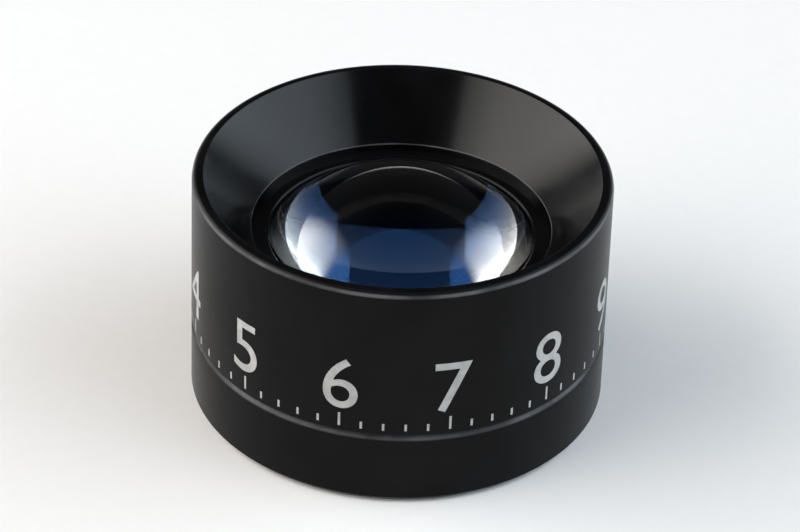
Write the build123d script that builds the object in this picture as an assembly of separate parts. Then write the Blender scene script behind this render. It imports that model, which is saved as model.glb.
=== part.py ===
from build123d import *
from math import sqrt
import os

# Diagnostic aspheric lens for slit lamp examination: a thick biconvex glass, both faces
# aspheric, held in a short turned ring of black anodised aluminium. The ring flares into
# a bell round the front of the glass, and a second ring screwed on below carries the lens
# when it stands. Millimetres. Z is the optical axis and points out of the bell. The origin
# is the centre of the face that the lens stands on.

# Glass. The edge is blackened, and its bevels are ground
focal_length = 11.11        # a power of 90 dioptres
refractive_index = 1.523
glass_diameter = 19.0
glass_thickness = 12.0      # on the axis
front_vertex_radius = 7.5
front_conic = -1.4          # conic constants below -1 are hyperboloids
back_conic = -2.0
glass_bevel_width = 0.15
glass_bevel_drop = 0.35

# Walls of the ring, from the glass outwards, each measured on the radius
glass_clearance = 0.1       # between the glass and the barrel's bore
retainer_thread_depth = 0.8  # from the bore out to the retaining ring's thread
spigot_wall = 1.7           # barrel's spigot, between its two threads
base_wall = 0.9             # base ring, outside its thread to the barrel

# Bell and the lip that the front of the glass is seated against
rim_round = 0.45            # rounded outer edge of the rim
rim_land = 0.25             # flat top of the rim, between that round and the bell
bell_depth = 3.86           # from the rim down to the foot of the bell
bell_step = 0.48            # from the foot of the bell down to the lip
lip_ledge = 1.07            # width of the lip's flat front face
lip_reach = 1.25            # how far the lip covers the glass, on the radius
lip_edge = 0.22             # thickness of the lip at its inner edge
edge_break = 0.1            # small bevel or round on turned corners
seat_inset = 0.6            # from the edge of the glass in to the circle of contact
seat_gap = 0.01

# Cushion ring and retaining ring, behind the glass
cushion_cord = 1.0          # diameter of the cord
cushion_inset = 0.6         # from the edge of the glass in to the circle of contact
cushion_gap = 0.01
retainer_height = 2.2
retainer_face = 1.7         # width of its flat front face
retainer_land = 0.4         # straight wall behind that face, before the flare
retainer_back_land = 0.8    # width of its flat back face
slot_width = 1.2            # slots for a pin spanner
slot_depth = 0.8
slot_count = 2

# Base ring, screwed on below the barrel. Threads are drawn as plain cylinders
base_height = 4.97          # up to the parting line
parting_bevel_base = 0.3    # upper edge of the base ring, which shows as a bright line
parting_bevel_barrel = 0.15  # lower edge of the barrel
foot_bevel = 0.4            # outer edge of the face that it stands on
foot_land = 0.75            # width of that face
base_lip_height = 2.0       # inward lip that closes the base ring below the barrel
base_lip_reach = 2.3        # how far the lip reaches in from the thread
spigot_clearance = 0.12     # between that lip and the barrel's spigot
retainer_clearance = 0.87   # between that lip and the retaining ring
thread_clearance = 0.03     # on the radius, between the two halves of a thread
thread_bevel = 0.2


def vertex_radius_for(focal, index, thickness, other_radius):
    """Radius that gives a thick biconvex lens its focal length, the other face being known."""
    bending = 1 / (focal * (index - 1)) - 1 / other_radius
    return (1 - (index - 1) * thickness / (index * other_radius)) / bending


def sag(radius, vertex_radius, conic):
    """Depth of a conic face at a distance from its axis."""
    bulge = 1 - (1 + conic) * (radius / vertex_radius) ** 2
    return radius**2 / (vertex_radius * (1 + sqrt(bulge)))


def slope(radius, vertex_radius, conic):
    """Slope of a conic face at a distance from its axis."""
    bulge = 1 - (1 + conic) * (radius / vertex_radius) ** 2
    return radius / (vertex_radius * sqrt(bulge))


# Radii, from the glass outwards
glass_radius = glass_diameter / 2
bore_radius = glass_radius + glass_clearance
retainer_thread_radius = bore_radius + retainer_thread_depth
base_thread_radius = retainer_thread_radius + spigot_wall
ring_radius = base_thread_radius + base_wall
lip_radius = glass_radius - lip_reach
bell_foot_radius = lip_radius + lip_ledge
bell_mouth_radius = ring_radius - rim_round - rim_land
base_lip_radius = base_thread_radius - base_lip_reach
seat_contact = glass_radius - seat_inset
cushion_contact = glass_radius - cushion_inset
back_vertex_radius = vertex_radius_for(
    focal_length, refractive_index, glass_thickness, front_vertex_radius
)

# Heights, from the foot upwards: each piece is carried by the one below it
spigot_end = base_lip_height + spigot_clearance
retainer_bottom = base_lip_height + retainer_clearance
retainer_top = retainer_bottom + retainer_height
cord_height = retainer_top + cushion_gap + cushion_cord / 2
back_rise = slope(cushion_contact, back_vertex_radius, back_conic)
cord_lean = (cushion_cord / 2 + cushion_gap) / sqrt(1 + back_rise**2)
cord_radius = cushion_contact + cord_lean * back_rise
back_apex = cord_height + cord_lean - sag(cushion_contact, back_vertex_radius, back_conic)
front_apex = back_apex + glass_thickness


def seat_height(radius):
    """Height of the front seat, a cone that the glass's front face touches on one circle."""
    touch = front_apex - sag(seat_contact, front_vertex_radius, front_conic)
    fall = slope(seat_contact, front_vertex_radius, front_conic)
    return touch + seat_gap * sqrt(1 + fall**2) - (radius - seat_contact) * fall


lip_height = seat_height(lip_radius) + lip_edge
bell_foot_height = lip_height + bell_step
ring_height = bell_foot_height + bell_depth


def outline(*corners):
    """Closed profile of a turned part, from its (radius, height) corners."""
    return make_face(Polyline(*corners, close=True))


def at_corner(profile, radius, height):
    """The corner of a profile at a radius and a height."""
    return profile.vertices().sort_by_distance((radius, height, 0))[0]


def rounded(profile, corner, size):
    return fillet(at_corner(profile, *corner), size)


def bevelled(profile, *corners, size):
    for corner in corners:
        profile = chamfer(at_corner(profile, *corner), size)
    return profile


def turned(profile):
    """Solid of revolution of a profile about the optical axis."""
    return revolve(Plane.XZ * profile, Axis.Z)


def conic_arc(apex, radius, vertex_radius, conic, way):
    """Exact profile of a conic face from its apex out to a radius, as a rational curve.
    The face leaves the apex's height along way, which is 1 for up and -1 for down."""
    depth = sag(radius, vertex_radius, conic)
    weight = radius / sqrt(2 * vertex_radius * depth)
    tangents_meet = (vertex_radius * depth / radius, apex)
    rim = (radius, apex + way * depth)
    return Bezier((0, apex), tangents_meet, rim, weights=[1, weight, 1])


def glass_lens():
    """Biconvex glass with a ground cylindrical edge and bevelled corners."""
    clear = glass_radius - glass_bevel_width
    front = conic_arc(front_apex, clear, front_vertex_radius, front_conic, -1)
    back = conic_arc(back_apex, clear, back_vertex_radius, back_conic, 1)
    front_rim = front @ 1
    back_rim = back @ 1
    edge = Polyline(
        front_rim,
        (glass_radius, front_rim.Y - glass_bevel_drop),
        (glass_radius, back_rim.Y + glass_bevel_drop),
        back_rim,
    )
    return turned(make_face([front, *edge.edges(), back, Line(back @ 0, front @ 0)]))


def bell_barrel():
    """The main ring: bell, lip, seat and bore for the glass, with a threaded spigot."""
    thread_start = retainer_top + retainer_thread_depth + thread_bevel
    rim_corner = (ring_radius, ring_height)
    bell_foot = (bell_foot_radius, bell_foot_height)
    lip_corner = (lip_radius, lip_height)
    shoulder_corner = (ring_radius, base_height)
    spigot_corners = ((retainer_thread_radius, spigot_end), (base_thread_radius, spigot_end))
    profile = outline(
        rim_corner,
        (bell_mouth_radius, ring_height),
        bell_foot,
        (bell_foot_radius, lip_height),
        lip_corner,
        (lip_radius, seat_height(lip_radius)),
        (bore_radius, seat_height(bore_radius)),
        (bore_radius, thread_start + retainer_thread_depth),
        (retainer_thread_radius, thread_start),
        *spigot_corners,
        (base_thread_radius, base_height),
        shoulder_corner,
    )
    profile = rounded(profile, rim_corner, rim_round)
    profile = rounded(profile, bell_foot, edge_break)
    profile = bevelled(profile, lip_corner, size=edge_break)
    profile = bevelled(profile, *spigot_corners, size=thread_bevel)
    return turned(bevelled(profile, shoulder_corner, size=parting_bevel_barrel))


def base_ring():
    """The ring screwed on below: the lens stands on it, and it flares round the back face."""
    thread = base_thread_radius + thread_clearance
    top_corner = (ring_radius, base_height)
    foot_corner = (ring_radius, 0)
    lip_corner = (base_lip_radius, base_lip_height)
    profile = outline(
        top_corner,
        (thread, base_height),
        (thread, base_lip_height),
        lip_corner,
        (ring_radius - foot_bevel - foot_land, 0),
        foot_corner,
    )
    profile = bevelled(profile, top_corner, size=parting_bevel_base)
    profile = bevelled(profile, foot_corner, size=foot_bevel)
    return turned(bevelled(profile, lip_corner, size=edge_break))


def retaining_ring():
    """Threaded ring behind the glass, with slots across its back face for a spanner."""
    outer = retainer_thread_radius - thread_clearance
    inner = outer - retainer_face
    outer_corners = ((outer, retainer_top), (outer, retainer_bottom))
    profile = outline(
        *outer_corners,
        (outer - retainer_back_land, retainer_bottom),
        (inner, retainer_top - retainer_land),
        (inner, retainer_top),
    )
    ring = turned(bevelled(profile, *outer_corners, size=thread_bevel))
    slot = Pos(outer, 0, retainer_bottom) * Box(2 * retainer_face, slot_width, 2 * slot_depth)
    return ring - PolarLocations(0, slot_count) * slot


def cushion_ring():
    """Round rubber cord between the retaining ring and the glass."""
    return Pos(0, 0, cord_height) * Torus(cord_radius, cushion_cord / 2)


parts = {
    "bell_barrel": bell_barrel(),
    "glass_lens": glass_lens(),
    "cushion_ring": cushion_ring(),
    "retaining_ring": retaining_ring(),
    "base_ring": base_ring(),
}

os.makedirs("parts", exist_ok=True)
for name, part in parts.items():
    export_step(part, f"parts/{name}.step")
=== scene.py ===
import bpy
import bmesh
from math import cos, pi, radians, sin, tan
from mathutils import Matrix, Vector


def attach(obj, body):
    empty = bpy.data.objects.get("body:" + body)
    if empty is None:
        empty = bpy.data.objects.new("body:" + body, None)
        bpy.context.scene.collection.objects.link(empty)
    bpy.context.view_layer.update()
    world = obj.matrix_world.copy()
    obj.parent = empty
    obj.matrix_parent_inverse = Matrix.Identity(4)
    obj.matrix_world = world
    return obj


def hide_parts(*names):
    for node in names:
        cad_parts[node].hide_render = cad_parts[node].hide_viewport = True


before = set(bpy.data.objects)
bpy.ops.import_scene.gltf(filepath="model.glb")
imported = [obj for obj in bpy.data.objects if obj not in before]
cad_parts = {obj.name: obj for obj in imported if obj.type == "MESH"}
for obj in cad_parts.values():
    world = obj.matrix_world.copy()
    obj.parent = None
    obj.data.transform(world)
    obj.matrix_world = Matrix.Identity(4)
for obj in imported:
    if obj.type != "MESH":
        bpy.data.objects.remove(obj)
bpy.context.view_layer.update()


# Glass lens
# One thick piece of crown glass, both faces aspheric, with a blue anti-reflection coating.
# Its ground edge is painted black. It lies between the barrel's seat and a rubber cord. Sizes
# are in millimetres here and in every piece, and heights are above the foot of the lens.

class Nodes:
    """A node tree under construction, of a finish or of a shape."""

    def __init__(self, tree):
        self.tree = tree

    def add(self, kind, settings={}, inputs={}, output=0):
        """Adds a node, sets it up, fills or links its sockets and returns one of its outputs."""
        made = self.tree.nodes.new(kind)
        for name, value in settings.items():
            setattr(made, name, value)
        for name, value in inputs.items():
            if isinstance(value, Wire):
                self.tree.links.new(value.socket, made.inputs[name])
            else:
                made.inputs[name].default_value = value
        return Wire(self, made.outputs[output]) if made.outputs else None


class Wire:
    """A value on its way through a node tree. Arithmetic on it adds Math nodes."""

    def __init__(self, nodes, socket):
        self.nodes = nodes
        self.socket = socket

    def maths(self, operation, first, second=0.0):
        return self.nodes.add("ShaderNodeMath", {"operation": operation}, {0: first, 1: second})

    def __add__(self, other):
        return self.maths("ADD", self, other)

    def __radd__(self, other):
        return self.maths("ADD", other, self)

    def __sub__(self, other):
        return self.maths("SUBTRACT", self, other)

    def __rsub__(self, other):
        return self.maths("SUBTRACT", other, self)

    def __mul__(self, other):
        return self.maths("MULTIPLY", self, other)

    def __rmul__(self, other):
        return self.maths("MULTIPLY", other, self)

    def __truediv__(self, other):
        return self.maths("DIVIDE", self, other)

    def __rtruediv__(self, other):
        return self.maths("DIVIDE", other, self)

    def __pow__(self, other):
        return self.maths("POWER", self, other)

    def __gt__(self, other):
        return self.maths("GREATER_THAN", self, other)

    def __lt__(self, other):
        return self.maths("LESS_THAN", self, other)

    def cos(self):
        return self.maths("COSINE", self)

    def sin(self):
        return self.maths("SINE", self)

    def part(self, axis):
        """One coordinate of a vector."""
        return self.nodes.add("ShaderNodeSeparateXYZ", {}, {0: self}, "XYZ".index(axis))

    def rise(self, low, high):
        """0 below low, 1 above high, and a smooth rise between them."""
        ends = {"Value": self, "From Min": low, "From Max": high}
        return self.nodes.add("ShaderNodeMapRange", {"interpolation_type": "SMOOTHSTEP"}, ends)


class Finish(Nodes):
    """A procedural material. Its radius and height are a turned piece's, in millimetres."""

    def __init__(self, name):
        self.material = bpy.data.materials.new(name)
        self.material.use_nodes = True
        super().__init__(self.material.node_tree)
        self.tree.nodes.clear()
        self.place = self.add("ShaderNodeTexCoord", output="Object")
        self.radius = (self.place.part("X") ** 2 + self.place.part("Y") ** 2) ** 0.5 * 1000
        self.height = self.place.part("Z") * 1000

    def lumps(self, per_millimetre, detail):
        """Soft noise from 0 to 1 all through the piece."""
        inputs = {"Vector": self.place, "Scale": per_millimetre * 1000, "Detail": detail}
        return self.add("ShaderNodeTexNoise", {}, inputs)

    def rings(self, along, per_millimetre, detail):
        """Soft noise from 0 to 1 in rings round the piece, as a turning tool leaves them."""
        inputs = {"W": along, "Scale": per_millimetre, "Detail": detail}
        return self.add("ShaderNodeTexNoise", {"noise_dimensions": "1D"}, inputs)

    def blend(self, share, first, second):
        """A colour between two, as share goes from 0 to 1. The Mix node's colour sockets are
        given by number, because its sockets of other kinds bear the same names."""
        ends = {0: share, 6: first, 7: second}
        return self.add("ShaderNodeMix", {"data_type": "RGBA"}, ends, 2)

    def relief(self, height, depth):
        """A bumped normal, where a height of 1 stands for depth in millimetres."""
        return self.add("ShaderNodeBump", {}, {"Height": height, "Distance": depth / 1000})

    def shaded(self, inputs):
        """The material, once a Principled shader with these inputs ends its tree."""
        shader = self.add("ShaderNodeBsdfPrincipled", {}, inputs)
        self.add("ShaderNodeOutputMaterial", {}, {"Surface": shader})
        return self.material


def sag(radius, vertex_radius, conic):
    """Depth of a conic face at a distance from its axis, for numbers and for wires."""
    bulge = 1 - (1 + conic) * (radius / vertex_radius) ** 2
    return radius**2 / (vertex_radius * (1 + bulge**0.5))


def slope(radius, vertex_radius, conic):
    """Slope of the same face at that distance."""
    bulge = 1 - (1 + conic) * (radius / vertex_radius) ** 2
    return radius / (vertex_radius * bulge**0.5)


focal_length = 11.11
refractive_index = 1.523
glass_radius = 9.5
glass_thickness = 12.0
front_radius = 7.5
front_conic = -1.4
back_conic = -2.0
bevel_width = 0.15
bevel_drop = 0.35
contact_radius = 8.9
contact_gap = 0.01
cord_thickness = 1.0
retainer_bottom = 2.87
retainer_top = retainer_bottom + 2.2

bending = 1 / (focal_length * (refractive_index - 1)) - 1 / front_radius
thick = (refractive_index - 1) * glass_thickness / (refractive_index * front_radius)
back_radius = (1 - thick) / bending
cord_height = retainer_top + contact_gap + cord_thickness / 2
back_rise = slope(contact_radius, back_radius, back_conic)
cord_lean = (cord_thickness / 2 + contact_gap) / (1 + back_rise**2) ** 0.5
cord_radius = contact_radius + cord_lean * back_rise
back_apex = cord_height + cord_lean - sag(contact_radius, back_radius, back_conic)
front_apex = back_apex + glass_thickness


def coated_glass():
    """Clear glass with a few wiped smears. Its coating leaves a weak blue reflection where it
    is seen straight on, and works less and less, up to a white one, where it is seen aslant."""
    finish = Finish("coated glass")
    aslant = finish.add("ShaderNodeLayerWeight", {}, {"Blend": 0.5}, "Facing")
    smear = finish.lumps(0.22, 5.0).rise(0.52, 0.80)
    grain = finish.lumps(1.6, 4.0)
    tint = finish.blend(grain, (0.955, 0.975, 1.0, 1), (0.975, 0.985, 1.0, 1))
    return finish.shaded({
        "Base Color": tint,
        "Roughness": 0.012 * smear * grain,
        "IOR": refractive_index,
        "Transmission Weight": 1.0,
        "Specular Tint": (0.07, 0.32, 1.0, 1),
        "Coat Weight": aslant.rise(0.14, 0.36),
        "Coat IOR": 1.65,
        "Coat Roughness": 0.01,
        "Normal": finish.relief(grain, 0.00002),
    })


def black_lacquer():
    """The paint on the ground edge of the glass, which stops stray light."""
    finish = Finish("black edge lacquer")
    grain = finish.lumps(5.0, 4.0)
    return finish.shaded({
        "Base Color": finish.blend(grain, (0.002, 0.002, 0.002, 1), (0.006, 0.006, 0.006, 1)),
        "Roughness": 0.45 + 0.25 * grain,
        "Specular IOR Level": 0.3,
        "Normal": finish.relief(grain, 0.01),
    })


def shape_tree(name, sizes):
    """A geometry node tree with a named input for each size, and those inputs by name."""
    tree = bpy.data.node_groups.new(name, "GeometryNodeTree")
    kinds = {int: "NodeSocketInt", float: "NodeSocketFloat"}
    for size, value in sizes.items():
        kind = kinds.get(type(value), "NodeSocketMaterial")
        tree.interface.new_socket(size, in_out="INPUT", socket_type=kind)
    tree.interface.new_socket("Shape", in_out="OUTPUT", socket_type="NodeSocketGeometry")
    nodes = Nodes(tree)
    entry = nodes.add("NodeGroupInput").socket.node
    return nodes, {size: Wire(nodes, entry.outputs[size]) for size in sizes}


usual_crisp = 24


def shown(name, mesh, crisp=usual_crisp):
    """A piece from a mesh, smooth between the corners that are sharper than crisp degrees."""
    mesh.shade_smooth()
    mesh.set_sharp_from_angle(angle=radians(crisp))
    piece = bpy.data.objects.new(name, mesh)
    bpy.context.scene.collection.objects.link(piece)
    return piece


def grown(name, nodes, shape, sizes, crisp=usual_crisp):
    """The plain mesh piece that a shape tree makes of its sizes."""
    nodes.add("NodeGroupOutput", {}, {"Shape": shape})
    maker = bpy.data.objects.new("maker", bpy.data.meshes.new("maker"))
    bpy.context.scene.collection.objects.link(maker)
    modifier = maker.modifiers.new("shape", "NODES")
    modifier.node_group = nodes.tree
    for item in nodes.tree.interface.items_tree:
        if item.in_out == "INPUT":
            modifier[item.identifier] = sizes[item.name]
    grown_now = maker.evaluated_get(bpy.context.evaluated_depsgraph_get())
    mesh = bpy.data.meshes.new_from_object(grown_now)
    maker.modifiers.remove(modifier)
    bpy.data.objects.remove(maker)
    mesh.name = name
    return shown(name, mesh, crisp)


def aspheric_lens():
    """The whole lens as a rule: two conic faces and a bevelled edge, each swept round the
    axis on a grid whose columns run outwards and whose rows run round."""
    sizes = {
        "Columns": 72,
        "Rows": 289,
        "Clear Radius": glass_radius - bevel_width,
        "Bevel Width": bevel_width,
        "Bevel Drop": bevel_drop,
        "Front Radius": front_radius,
        "Front Conic": front_conic,
        "Front Apex": front_apex,
        "Back Radius": back_radius,
        "Back Conic": back_conic,
        "Back Apex": back_apex,
        "Glass": coated_glass(),
        "Edge": black_lacquer(),
    }
    nodes, size = shape_tree("aspheric lens", sizes)
    place = nodes.add("GeometryNodeInputPosition")
    outward = place.part("X") + 0.5
    turn = (place.part("Y") + 0.5) * 2 * pi

    def swept(columns, radius, height):
        grid = {"Size X": 1.0, "Size Y": 1.0, "Vertices X": columns, "Vertices Y": size["Rows"]}
        spot = {0: radius * turn.cos() / 1000, 1: radius * turn.sin() / 1000, 2: height / 1000}
        where = nodes.add("ShaderNodeCombineXYZ", {}, spot)
        mesh = {"Geometry": nodes.add("GeometryNodeMeshGrid", {}, grid), "Position": where}
        return nodes.add("GeometryNodeSetPosition", {}, mesh)

    def made_of(mesh, material):
        inputs = {"Geometry": mesh, "Material": material}
        return nodes.add("GeometryNodeSetMaterial", {}, inputs)

    clear = size["Clear Radius"]
    out = outward * clear
    front_height = size["Front Apex"] - sag(out, size["Front Radius"], size["Front Conic"])
    back_height = size["Back Apex"] + sag(out, size["Back Radius"], size["Back Conic"])
    front = swept(size["Columns"], out, front_height)
    back_swept = swept(size["Columns"], out, back_height)
    back = nodes.add("GeometryNodeFlipFaces", {}, {"Mesh": back_swept})

    front_rim = size["Front Apex"] - sag(clear, size["Front Radius"], size["Front Conic"])
    back_rim = size["Back Apex"] + sag(clear, size["Back Radius"], size["Back Conic"])
    inner = outward * (1 - outward) > 0.01
    lower = outward > 0.5
    drop = inner * size["Bevel Drop"] * (2 * lower - 1)
    edge_height = front_rim + lower * (back_rim - front_rim) + drop
    edge = swept(4, clear + inner * size["Bevel Width"], edge_height)

    joined = nodes.add("GeometryNodeJoinGeometry").socket.node
    for face, material in ((front, "Glass"), (back, "Glass"), (edge, "Edge")):
        nodes.tree.links.new(made_of(face, size[material]).socket, joined.inputs[0])
    welded = {"Geometry": Wire(nodes, joined.outputs[0]), "Distance": 1e-7}
    lens = nodes.add("GeometryNodeMergeByDistance", {}, welded)
    return grown("aspheric_lens", nodes, lens, sizes, crisp=14)


lens = aspheric_lens()
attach(lens, "root")
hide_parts("glass_lens")


# Bell barrel
# The main ring: aluminium, turned in a lathe and anodised satin black. Its bell, turned finer
# than the wall, flares round the glass. Its lip is the front seat, and its spigot screws into
# the base ring.

def black_anodised(name, roughness, gloss, marks_depth, worn_and_highlight_edges):
    """Satin black anodising over turning marks of a depth in millimetres. Each worn and
    highlighted edge is a radius, a height and a reach in millimetres: there the colour is
    painted paler, partly as black rubbed thin to the metal and partly as a painted highlight."""
    finish = Finish(name)
    along = finish.height + finish.radius * 0.62
    fine = finish.rings(along, 7.0, 4.0)
    broad = finish.rings(along, 1.1, 2.0)
    cloud = finish.lumps(0.25, 4.0)
    speck = finish.lumps(5.0, 2.0).rise(0.72, 0.80)
    dark, pale = (0.0020, 0.0020, 0.0022, 1), (0.0042, 0.0042, 0.0047, 1)
    colour = finish.blend(cloud.rise(0.3, 0.7), dark, pale)
    for edge_radius, edge_height, reach in worn_and_highlight_edges:
        # Paler colour along each listed edge: partly wear, partly a painted highlight.
        away = ((finish.radius - edge_radius) ** 2 + (finish.height - edge_height) ** 2) ** 0.5
        wear_and_highlight = (1 - away.rise(reach * 0.3, reach)) * (0.35 + 0.65 * cloud.rise(0.35, 0.6))
        colour = finish.blend(wear_and_highlight, colour, (0.11, 0.11, 0.115, 1))
    return finish.shaded({
        "Base Color": colour,
        "Roughness": roughness + 0.08 * (cloud - 0.5) + 0.06 * (broad - 0.5) + 0.12 * speck,
        "Specular IOR Level": gloss,
        "Normal": finish.relief(0.6 * fine + 0.4 * broad, marks_depth),
    })


def eased(corners, steps=6):
    """Closed profile of a turned part from its (radius, height, rounding) corners."""
    points = []
    for number, (radius, height, rounding) in enumerate(corners):
        corner = Vector((radius, height))
        back = (Vector(corners[number - 1][:2]) - corner).normalized()
        ahead = (Vector(corners[(number + 1) % len(corners)][:2]) - corner).normalized()
        if not rounding:
            points.append(corner)
            continue
        half = back.angle(ahead) / 2
        centre = corner + (back + ahead).normalized() * rounding / sin(half)
        start = corner + back * rounding / tan(half) - centre
        end = corner + ahead * rounding / tan(half) - centre
        for step in range(steps + 1):
            share = step / steps
            points.append(centre + (start.slerp(end, share)).normalized() * rounding)
    return points


def turned(name, profile, material, spokes=384):
    """A closed ring swept from a profile in millimetres."""
    shape = bmesh.new()
    hoops = []
    for point in profile:
        hoop = []
        for spoke in range(spokes):
            angle = 2 * pi * spoke / spokes
            place = Vector((point.x * cos(angle), point.x * sin(angle), point.y)) / 1000
            hoop.append(shape.verts.new(place))
        hoops.append(hoop)
    for near, far in zip(hoops, hoops[1:] + hoops[:1]):
        for spoke in range(spokes):
            beside = (spoke + 1) % spokes
            shape.faces.new((near[spoke], near[beside], far[beside], far[spoke]))
    bmesh.ops.recalc_face_normals(shape, faces=shape.faces)
    mesh = bpy.data.meshes.new(name)
    shape.to_mesh(mesh)
    shape.free()
    mesh.materials.append(material)
    return shown(name, mesh)


ring_radius = 13.0
mouth_radius = 12.3
bell_foot_radius = 9.32
lip_radius = 8.25
bore_radius = 9.6
bore_bevel = 0.8
thread_start = 6.07
thread_bevel = 0.2
spigot_inner = 10.4
spigot_outer = 12.1
spigot_end = 2.12
parting_height = 4.97
parting_bevel = 0.15
seat_fall = slope(contact_radius, front_radius, front_conic)
seat_touch = front_apex - sag(contact_radius, front_radius, front_conic)
seat_touch += contact_gap * (1 + seat_fall**2) ** 0.5
seat_inner = seat_touch + (contact_radius - lip_radius) * seat_fall
seat_outer = seat_touch + (contact_radius - bore_radius) * seat_fall
lip_height = seat_inner + 0.22
bell_foot = lip_height + 0.48
ring_height = bell_foot + 3.86
edge_break = 0.1

barrel = turned(
    "barrel",
    eased([
        (ring_radius, ring_height, 0.45),
        (mouth_radius, ring_height, 0.05),
        (bell_foot_radius, bell_foot, 0.1),
        (bell_foot_radius, lip_height, 0),
        (lip_radius + edge_break, lip_height, 0.02),
        (lip_radius, lip_height - edge_break, 0.02),
        (lip_radius, seat_inner, 0),
        (bore_radius, seat_outer, 0),
        (bore_radius, thread_start + bore_bevel, 0),
        (spigot_inner, thread_start, 0),
        (spigot_inner, spigot_end + thread_bevel, 0),
        (spigot_inner + thread_bevel, spigot_end, 0),
        (spigot_outer - thread_bevel, spigot_end, 0),
        (spigot_outer, spigot_end + thread_bevel, 0),
        (spigot_outer, parting_height, 0),
        (ring_radius - parting_bevel, parting_height, 0.03),
        (ring_radius, parting_height + parting_bevel, 0.05),
    ]),
    black_anodised(
        "barrel black anodised",
        roughness=0.30,
        gloss=0.09,
        marks_depth=0.004,
        worn_and_highlight_edges=[
            # Painted highlight, partly wear, along the rim's rounding and the parting bevel.
            (ring_radius - 0.05, ring_height - 0.25, 0.16),
            (ring_radius - 0.05, parting_height + 0.05, 0.12),
        ],
    ),
)
bell_black = black_anodised(
    "bell fine-turned black",
    roughness=0.16,
    gloss=0.20,
    marks_depth=0.002,
    # Painted highlight, partly wear, along the edge at the foot of the bell.
    worn_and_highlight_edges=[(bell_foot_radius, bell_foot, 0.07)],
)
barrel.data.materials.append(bell_black)
for face in barrel.data.polygons:
    radius = face.center.xy.length * 1000
    height = face.center.z * 1000
    if radius < mouth_radius + edge_break and height > lip_height - edge_break / 2:
        face.material_index = 1
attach(barrel, "root")
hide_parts("bell_barrel")


# Cushion ring
# A round cord of soft black rubber between the back of the glass and the retaining ring. It
# takes up the play, and shows from below as a thin dull line.

def dull_rubber():
    finish = Finish("dull black rubber")
    grain = finish.lumps(9.0, 5.0)
    bloom = finish.lumps(0.8, 3.0).rise(0.45, 0.8)
    return finish.shaded({
        "Base Color": finish.blend(bloom, (0.010, 0.010, 0.010, 1), (0.026, 0.026, 0.025, 1)),
        "Roughness": 0.62 + 0.25 * grain,
        "Specular IOR Level": 0.35,
        "Normal": finish.relief(grain, 0.012),
    })


cord_sides = 20
cord_profile = []
for step in range(cord_sides):
    angle = 2 * pi * step / cord_sides
    way = Vector((cos(angle), sin(angle)))
    cord_profile.append(Vector((cord_radius, cord_height)) + way * cord_thickness / 2)
cushion = turned("cushion_cord", cord_profile, dull_rubber(), spokes=192)
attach(cushion, "root")
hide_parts("cushion_ring")


# Base ring
# The second black ring, screwed on below the barrel. The lens stands on its flat foot, and its
# inside flares like the bell. The bevel at its upper edge, with a painted highlight along it,
# is the bright line round the lens.

base_thread_radius = 12.13
bright_bevel = 0.3
foot_bevel = 0.4
lip_corner = Vector((9.8, 2.0))
foot_inner = Vector((11.85, 0))
flare_start = lip_corner + (foot_inner - lip_corner).normalized() * edge_break
base = turned(
    "base_ring_visual",
    eased([
        (ring_radius - bright_bevel, parting_height, 0.04),
        (base_thread_radius, parting_height, 0),
        (base_thread_radius, lip_corner.y, 0),
        (lip_corner.x + edge_break, lip_corner.y, 0.02),
        (*flare_start, 0.02),
        (*foot_inner, 0.05),
        (ring_radius - foot_bevel, 0, 0.06),
        (ring_radius, foot_bevel, 0.06),
        (ring_radius, parting_height - bright_bevel, 0.05),
    ]),
    black_anodised(
        "base black anodised",
        roughness=0.30,
        gloss=0.09,
        marks_depth=0.004,
        worn_and_highlight_edges=[
            # Painted highlight, partly wear, along the bright bevel and the foot bevel.
            (ring_radius - 0.14, parting_height - 0.13, 0.26),
            (ring_radius - foot_bevel / 2, foot_bevel / 2, 0.22),
        ],
    ),
)
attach(base, "root")
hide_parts("base_ring")


# Retaining ring
# A threaded black ring that presses the cord and the glass against the barrel's seat. Two
# slots across its back face take the pins of a ring spanner.

retainer_outer = 10.37
cord_side_width = 1.7
slot_side_width = 0.8
retainer_bore_height = 0.4
retainer_inner = retainer_outer - cord_side_width
slot_side_inner = retainer_outer - slot_side_width
retainer = turned(
    "retainer",
    eased([
        (retainer_outer - thread_bevel, retainer_top, 0),
        (retainer_inner, retainer_top, 0),
        (retainer_inner, retainer_top - retainer_bore_height, 0),
        (slot_side_inner, retainer_bottom, 0.03),
        (retainer_outer - thread_bevel, retainer_bottom, 0.03),
        (retainer_outer, retainer_bottom + thread_bevel, 0),
        (retainer_outer, retainer_top - thread_bevel, 0),
    ]),
    black_anodised(
        "retainer black anodised",
        roughness=0.42,
        gloss=0.12,
        marks_depth=0.006,
        worn_and_highlight_edges=[(slot_side_inner, retainer_bottom, 0.12)],
    ),
    spokes=360,
)
crumb = 0.002


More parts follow.
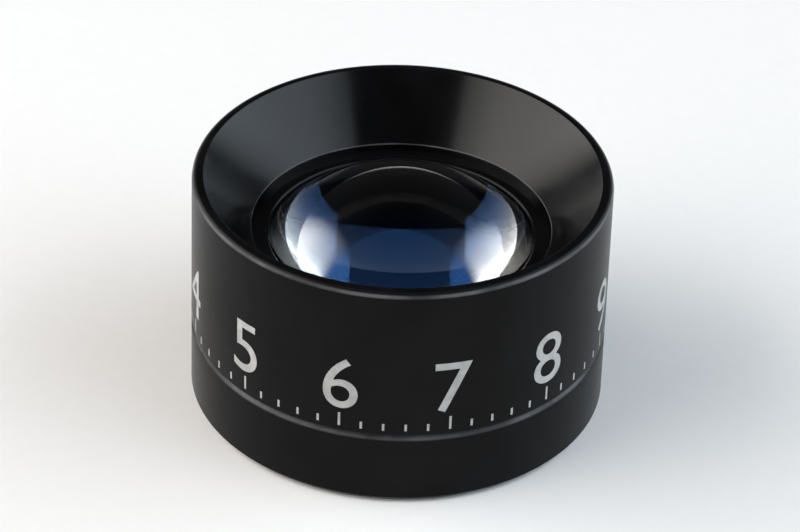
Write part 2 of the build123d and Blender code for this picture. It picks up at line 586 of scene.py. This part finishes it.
def slotted(piece, width, depth):
    """Cuts the two spanner slots across the back face. The mesh is in millimetres while the
    cut is made, because the solver is unsure of anything smaller, and edges no longer than a
    crumb are taken out afterwards."""
    cutter_mesh = bpy.data.meshes.new("slot cutter")
    shape = bmesh.new()
    for side in (1, -1):
        middle = Matrix.Translation((side * retainer_outer, 0, retainer_bottom))
        size = Matrix.Diagonal((2 * cord_side_width, width, 2 * depth, 1))
        bmesh.ops.create_cube(shape, size=1, matrix=middle @ size)
    shape.to_mesh(cutter_mesh)
    shape.free()
    cutter = bpy.data.objects.new("slot cutter", cutter_mesh)
    bpy.context.scene.collection.objects.link(cutter)
    piece.data.transform(Matrix.Scale(1000, 4))
    cut = piece.modifiers.new("slots", "BOOLEAN")
    cut.operation = "DIFFERENCE"
    cut.solver = "EXACT"
    cut.object = cutter
    cut_now = piece.evaluated_get(bpy.context.evaluated_depsgraph_get())
    mesh = bpy.data.meshes.new_from_object(cut_now)
    piece.modifiers.remove(cut)
    bpy.data.objects.remove(cutter)
    shape = bmesh.new()
    shape.from_mesh(mesh)
    bmesh.ops.dissolve_degenerate(shape, dist=crumb, edges=shape.edges)
    shape.to_mesh(mesh)
    shape.free()
    mesh.transform(Matrix.Scale(0.001, 4))
    piece.data = mesh
    mesh.set_sharp_from_angle(angle=radians(usual_crisp))


slotted(retainer, width=1.2, depth=0.8)
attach(retainer, "root")
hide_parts("retaining_ring")


# Dial marks
# Plain numbers from 1 to 12 and sixty ticks, marked in grey-white on the barrel's outer wall as
# a thin film. They stand upright, with 6 and 7 left and right of the front.

def marking_ink():
    finish = Finish("grey-white marking")
    grain = finish.lumps(7.0, 5.0)
    thin = finish.lumps(1.2, 3.0).rise(0.35, 0.75)
    return finish.shaded({
        "Base Color": finish.blend(thin, (0.46, 0.46, 0.45, 1), (0.34, 0.34, 0.34, 1)),
        "Roughness": 0.45 + 0.2 * grain,
        "Specular IOR Level": 0.4,
        "Normal": finish.relief(grain, 0.006),
    })


ink = marking_ink()
film = 0.006
numeral_height = 3.6
numeral_foot = 6.8
capital_share = 0.69
strip_width = 0.15
strip_reach = 16
strip_offset = 0.3
same_point = 1e-4
degrees_apart = 30
tick_foot = 5.45


def dial_ticks(ink):
    """Sixty ticks round the wall, every fifth one longer, clear of the four sides' outermost
    points, so that the film adds nothing to the width of the lens."""
    sizes = {
        "Ticks": 60,
        "Wall Radius": ring_radius,
        "Film": film,
        "Tick Width": 0.15,
        "Short Tick": 0.5,
        "Long Tick": 0.95,
        "Foot Height": tick_foot,
        "Ink": ink,
    }
    nodes, size = shape_tree("dial ticks", sizes)
    number = nodes.add("GeometryNodeInputIndex")
    turn = (number + 0.5) * 2 * pi / size["Ticks"]
    longer = nodes.add("ShaderNodeMath", {"operation": "MODULO"}, {0: number + 3, 1: 5.0}) < 0.5
    length = size["Short Tick"] + longer * (size["Long Tick"] - size["Short Tick"])
    spot = {
        0: size["Wall Radius"] * turn.cos() / 1000,
        1: size["Wall Radius"] * turn.sin() / 1000,
        2: (size["Foot Height"] + length / 2) / 1000,
    }
    points = nodes.add("GeometryNodePoints", {}, {
        "Count": size["Ticks"],
        "Position": nodes.add("ShaderNodeCombineXYZ", {}, spot),
    })
    box_size = {0: size["Film"] * 2 / 1000, 1: size["Tick Width"] / 1000, 2: 0.001}
    box = nodes.add("GeometryNodeMeshCube", {}, {
        "Size": nodes.add("ShaderNodeCombineXYZ", {}, box_size),
    })
    placed = nodes.add("GeometryNodeInstanceOnPoints", {}, {
        "Points": points,
        "Instance": box,
        "Rotation": nodes.add("ShaderNodeCombineXYZ", {}, {2: turn}),
        "Scale": nodes.add("ShaderNodeCombineXYZ", {}, {0: 1.0, 1: 1.0, 2: length}),
    })
    real = nodes.add("GeometryNodeRealizeInstances", {}, {"Geometry": placed})
    inked = nodes.add("GeometryNodeSetMaterial", {}, {"Geometry": real, "Material": size["Ink"]})
    return grown("dial_ticks", nodes, inked, sizes)


ticks = dial_ticks(ink)
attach(ticks, "root")


def dial_number(value, azimuth):
    """One number, set in type, cut into upright strips and bent round the wall. The cuts stand
    a little off the middle, so that none runs along an upright stroke's edge."""
    words = bpy.data.curves.new(f"number {value}", "FONT")
    words.body = str(value)
    words.size = numeral_height / capital_share
    words.align_x = "CENTER"
    words.resolution_u = 8
    words.extrude = 1
    writer = bpy.data.objects.new("writer", words)
    bpy.context.scene.collection.objects.link(writer)
    written = writer.evaluated_get(bpy.context.evaluated_depsgraph_get())
    mesh = bpy.data.meshes.new_from_object(written)
    bpy.data.objects.remove(writer)
    shape = bmesh.new()
    shape.from_mesh(mesh)
    bmesh.ops.remove_doubles(shape, verts=shape.verts, dist=same_point)
    bmesh.ops.recalc_face_normals(shape, faces=shape.faces)
    for strip in range(-strip_reach, strip_reach + 1):
        parts = shape.verts[:] + shape.edges[:] + shape.faces[:]
        cut = {"plane_co": ((strip + strip_offset) * strip_width, 0, 0), "plane_no": (1, 0, 0)}
        bmesh.ops.bisect_plane(shape, geom=parts, dist=same_point, **cut)
    bmesh.ops.dissolve_degenerate(shape, dist=crumb, edges=shape.edges)
    for vert in shape.verts:
        turn = azimuth + vert.co.x / ring_radius
        out = ring_radius + film * vert.co.z
        place = Vector((out * sin(turn), -out * cos(turn), numeral_foot + vert.co.y))
        vert.co = place / 1000
    shape.to_mesh(mesh)
    shape.free()
    mesh.materials.clear()
    mesh.materials.append(ink)
    piece = shown(f"number_{value}", mesh, 40)
    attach(piece, "root")


for value in range(1, 13):
    dial_number(value, radians((value - 6.5) * degrees_apart))


# Table and background
# A pale smooth table under the lens. Its far part passes into the white background, for the
# camera and for what the metal and the glass mirror, and near the lens it keeps the shadow.

def ray_kinds(nodes):
    """Wires that are 1 for a ray straight from the camera, mirrored, or passed through glass."""
    kinds = ("Is Camera Ray", "Is Glossy Ray", "Is Transmission Ray")
    paths = nodes.add("ShaderNodeLightPath").socket.node
    return [Wire(nodes, paths.outputs[kind]) for kind in kinds]


def pale_table():
    """Pale near the lens and white far out, with the fade's two radii in millimetres. Right
    under the glass its colour is painted near black: a painted shadow, for the foot of the lens
    keeps the light out there."""
    fade = (35.0, 140.0)
    foot_edge = (11.2, 11.8)
    finish = Finish("pale table")
    grain = finish.lumps(0.9, 4.0)
    seen, mirrored, passed = ray_kinds(finish)
    shown_ray = (seen + mirrored + passed) > 0.5
    far = finish.radius.rise(*fade) * shown_ray
    pale = finish.blend(grain, (0.82, 0.805, 0.795, 1), (0.79, 0.775, 0.765, 1))
    # Painted shadow: inside the foot of the lens the table's colour goes near black.
    painted_shadow_under_lens = 1 - finish.radius.rise(*foot_edge)
    near_shader = finish.add("ShaderNodeBsdfPrincipled", {}, {
        "Base Color": finish.blend(painted_shadow_under_lens, pale, (0.01, 0.01, 0.01, 1)),
        "Roughness": 0.55 + 0.2 * grain,
        "Specular IOR Level": 0.03,
        "Normal": finish.relief(grain, 0.02),
    })
    white = finish.add("ShaderNodeEmission", {}, {"Color": (1, 1, 1, 1), "Strength": 1.0})
    mixed = finish.add("ShaderNodeMixShader", {}, {0: far, 1: near_shader, 2: white})
    finish.add("ShaderNodeOutputMaterial", {}, {"Surface": mixed})
    return finish.material


table_mesh = bpy.data.meshes.new("table")
table_shape = bmesh.new()
bmesh.ops.create_circle(table_shape, cap_ends=True, segments=96, radius=1.2)
table_shape.to_mesh(table_mesh)
table_shape.free()
table_mesh.materials.append(pale_table())
table = bpy.data.objects.new("table", table_mesh)
bpy.context.scene.collection.objects.link(table)

room = bpy.data.worlds.new("room")
bpy.context.scene.world = room
room.use_nodes = True
room.node_tree.nodes.clear()
air = Nodes(room.node_tree)
seen, glossy, passed = ray_kinds(air)
mirrored = (glossy + passed) > 0.5
up = air.add("ShaderNodeTexCoord", output="Generated").part("Z")
ceiling = 0.03
fill = 0.08
backdrop = ceiling + (1 - ceiling) * (1 - up.rise(0.05, 0.17))
strength = seen + (1 - seen) * (mirrored * backdrop + (1 - mirrored) * fill)
light = air.add("ShaderNodeBackground", {}, {"Color": (1, 1, 1, 1), "Strength": strength})
air.add("ShaderNodeOutputWorld", {}, {"Surface": light})


# Soft lamps
# A sheet of lit cloth on each side makes the two soft patches in the bell and in the glass.
# The dark gap between them is the room. A weaker panel hangs above the front. Sizes from here
# on are in metres.

sheet_distance = 0.25
sheet_front = -0.31
sheet_bottom = 0.03
sheet_top = 0.42
slant = 0.44
sheet_outline = (
    (sheet_front, sheet_bottom),
    (slant - sheet_bottom, sheet_bottom),
    (slant - sheet_top, sheet_top),
    (sheet_front, sheet_top),
)
sheet_brightness = 5.6
dim_share = 0.45
slant_fade = 0.13
bottom_fade = (0.04, 0.13)
tones = {-1: (1.0, 0.98, 0.95, 1), 1: (0.62, 0.70, 0.77, 1)}


def lit_cloth(tone):
    """The glow of a side sheet: full beside the lens, weaker towards the camera and gone at
    the bottom and along the slanting upper edge behind the lens."""
    finish = Finish("lit cloth")
    along = finish.place.part("Y")
    high = finish.place.part("Z")
    near_lens = dim_share + (1 - dim_share) * along.rise(-0.30, -0.06)
    edges = (slant - along - high).rise(0.0, slant_fade) * high.rise(*bottom_fade)
    glow = finish.blend(near_lens * edges, (0, 0, 0, 1), tone)
    cloth = finish.add("ShaderNodeEmission", {}, {"Color": glow, "Strength": sheet_brightness})
    finish.add("ShaderNodeOutputMaterial", {}, {"Surface": cloth})
    return finish.material


for side, tone in tones.items():
    sheet_mesh = bpy.data.meshes.new("side sheet")
    corners = [(sheet_distance * side, along, high) for along, high in sheet_outline]
    sheet_mesh.from_pydata(corners, [], [range(4)])
    sheet_mesh.materials.append(lit_cloth(tone))
    sheet = bpy.data.objects.new("side sheet", sheet_mesh)
    sheet.visible_camera = False
    bpy.context.scene.collection.objects.link(sheet)

panel_brightness = 0.8
top_lamp = bpy.data.lights.new("top panel", "AREA")
top_lamp.shape = "RECTANGLE"
top_lamp.size = 0.50
top_lamp.size_y = 0.26
top_lamp.energy = panel_brightness * pi * top_lamp.size * top_lamp.size_y
top_panel = bpy.data.objects.new("top panel", top_lamp)
top_panel.location = (0, -0.11, 0.42)
top_panel.visible_camera = False
bpy.context.scene.collection.objects.link(top_panel)


# Camera
# It looks down on the lens from the front, at the photograph's angle and distance, turned by
# the same two degrees.

look_down = radians(33.39)
tilt = radians(1.98)
distance = 0.260
rim_middle = Vector((0, 0, 0.01505))
ahead = Vector((0, cos(look_down), -sin(look_down)))
eye = rim_middle - ahead * distance
aim = Vector((0, 0, 0.0086))
ahead = (aim - eye).normalized()
right = Vector((1, 0, 0))
above = right.cross(ahead)
turned_right = right * cos(tilt) + above * sin(tilt)
turned_above = above * cos(tilt) - right * sin(tilt)
camera = bpy.data.cameras.new("camera")
camera.lens = 190
camera.clip_start = 0.01
camera.clip_end = 10
viewer = bpy.data.objects.new("camera", camera)
facing = Matrix((turned_right, turned_above, -ahead)).transposed()
viewer.matrix_world = Matrix.Translation(eye) @ facing.to_4x4()
bpy.context.scene.collection.objects.link(viewer)
bpy.context.scene.camera = viewer
bpy.context.scene.view_settings.view_transform = "Standard"
